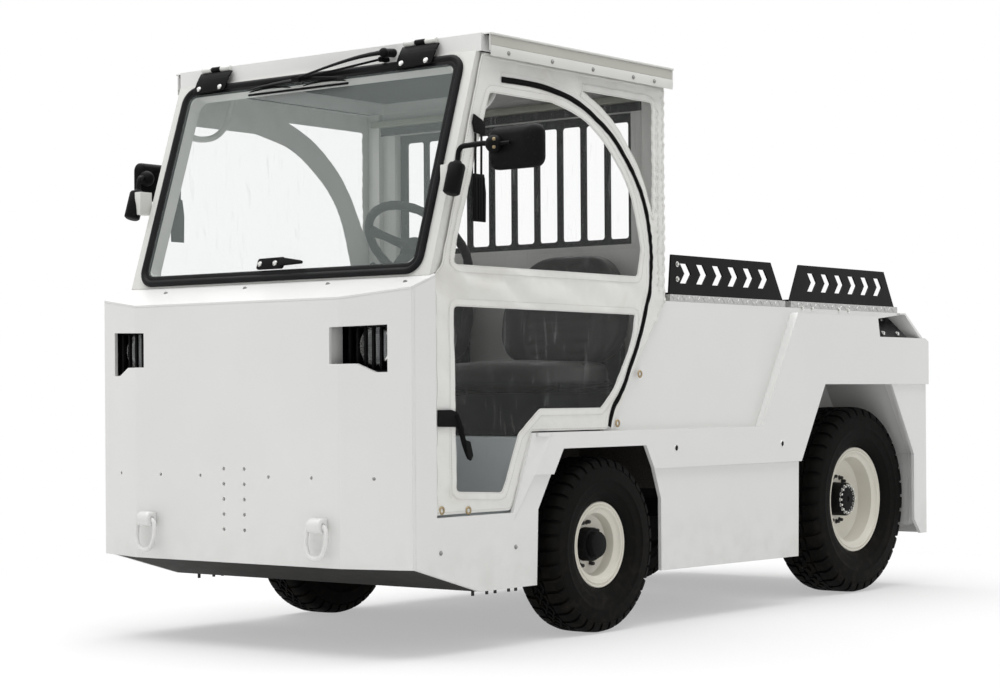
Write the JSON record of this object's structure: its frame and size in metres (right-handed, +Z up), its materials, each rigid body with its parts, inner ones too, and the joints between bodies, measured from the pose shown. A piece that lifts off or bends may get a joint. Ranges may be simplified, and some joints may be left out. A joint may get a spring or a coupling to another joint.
{
  "type": "airport baggage tug",
  "caption": "Low steel tow tractor with a soft-door cab, hinged deck lid, edge rails, steered front wheels and a stepped rear pin hitch.",
  "frame": {"origin": "on the ground, midway along and across the vehicle", "axes": "+X the vehicle's left, -Y its front, +Z up"},
  "size_m": [1.848, 3.262, 1.7679],
  "materials": {
    "white_paint": "semi-gloss white body paint",
    "grey_paint": "light grey floor paint",
    "black_paint": "satin black",
    "tread_plate": "raised-bar tread plate",
    "green_glass": "tinted safety glass",
    "clear_vinyl": "clear flexible sheet",
    "white_vinyl": "coated white fabric",
    "rubber": "black extruded seal",
    "tyre": "black industrial tyre",
    "cream_paint": "off-white wheel paint",
    "black_plastic": "textured black moulding",
    "lamp_plastic": "red lens",
    "seat_cover": "black vinyl seat cover",
    "iron": "dark painted casting"
  },
  "bodies": {
    "chassis": {"front_fascia": "white_paint", "front_rings": "white_paint", "front_cowl": "white_paint", "headlamps": "black_plastic", "belly_pan": "white_paint", "body_side_left": "white_paint", "body_side_right": "white_paint", "side_skirts": "white_paint", "rear_panel": "white_paint", "main_frame": "black_paint", "wheel_wells": "black_paint", "cab_floor": "grey_paint", "dash": "black_plastic", "steering_column": "black_plastic", "seats": "seat_cover", "cab_frame": "white_paint", "windscreen_seal": "rubber", "cab_glass": "green_glass", "windscreen_fittings": "black_paint", "wiper": "black_paint", "cab_roof": "white_paint", "cab_rear_wall": "white_paint", "rear_guard": "black_paint", "curtain_left": "white_vinyl", "curtain_right": "white_vinyl", "curtain_panes": "clear_vinyl", "mirrors": "black_plastic", "rear_deck": "tread_plate", "deck_rails": "black_paint", "corner_plates": "black_paint", "tail_lamps": "lamp_plastic", "tow_hitch": "black_paint", "power_unit": "iron", "front_axle": "iron", "rear_axle": "iron"},
    "steering_wheel": {"steering_wheel": "black_plastic"},
    "knuckle_left": {"knuckle_left": "iron"},
    "knuckle_right": {"knuckle_right": "iron"},
    "lid": {"deck_lid": "tread_plate", "lid_rails": "black_paint"},
    "wheel_front_left": {"tyre_front_left": "tyre", "rim_front_left": "cream_paint"},
    "wheel_front_right": {"tyre_front_right": "tyre", "rim_front_right": "cream_paint"},
    "wheel_rear_left": {"tyre_rear_left": "tyre", "rim_rear_left": "cream_paint"},
    "wheel_rear_right": {"tyre_rear_right": "tyre", "rim_rear_right": "cream_paint"}
  },
  "joints": [
    {"name": "steer_left", "type": "hinge", "parent": "chassis", "child": "knuckle_left", "pos_m": [0.43, -0.604, 0.27], "axis": [0, 0, 1], "range_deg": [-35, 35]},
    {"name": "steer_right", "type": "hinge", "parent": "chassis", "child": "knuckle_right", "pos_m": [-0.43, -0.604, 0.27], "axis": [0, 0, 1], "range_deg": [-35, 35]},
    {"name": "spin_front_left", "type": "hinge", "parent": "knuckle_left", "child": "wheel_front_left", "pos_m": [0.541, -0.604, 0.27], "axis": [1, 0, 0], "continuous": true},
    {"name": "spin_rear_left", "type": "hinge", "parent": "chassis", "child": "wheel_rear_left", "pos_m": [0.484, 1.071, 0.34], "axis": [1, 0, 0], "continuous": true},
    {"name": "spin_front_right", "type": "hinge", "parent": "knuckle_right", "child": "wheel_front_right", "pos_m": [-0.541, -0.604, 0.27], "axis": [1, 0, 0], "continuous": true},
    {"name": "spin_rear_right", "type": "hinge", "parent": "chassis", "child": "wheel_rear_right", "pos_m": [-0.484, 1.071, 0.34], "axis": [1, 0, 0], "continuous": true},
    {"name": "steering_wheel_turn", "type": "hinge", "parent": "chassis", "child": "steering_wheel", "pos_m": [0.305, -1.115, 1.172], "axis": [0, 0.7071, 0.7071], "range_deg": [-560, 560]},
    {"name": "lid_hinge", "type": "hinge", "parent": "chassis", "child": "lid", "pos_m": [0, 0.522, 1.046], "axis": [-1, 0, 0], "range_deg": [0, 50]}
  ],
  "couplings": [
    {"joint": "steer_right", "follows": "steer_left", "ratio": 1},
    {"joint": "steering_wheel_turn", "follows": "steer_left", "ratio": 16}
  ]
}
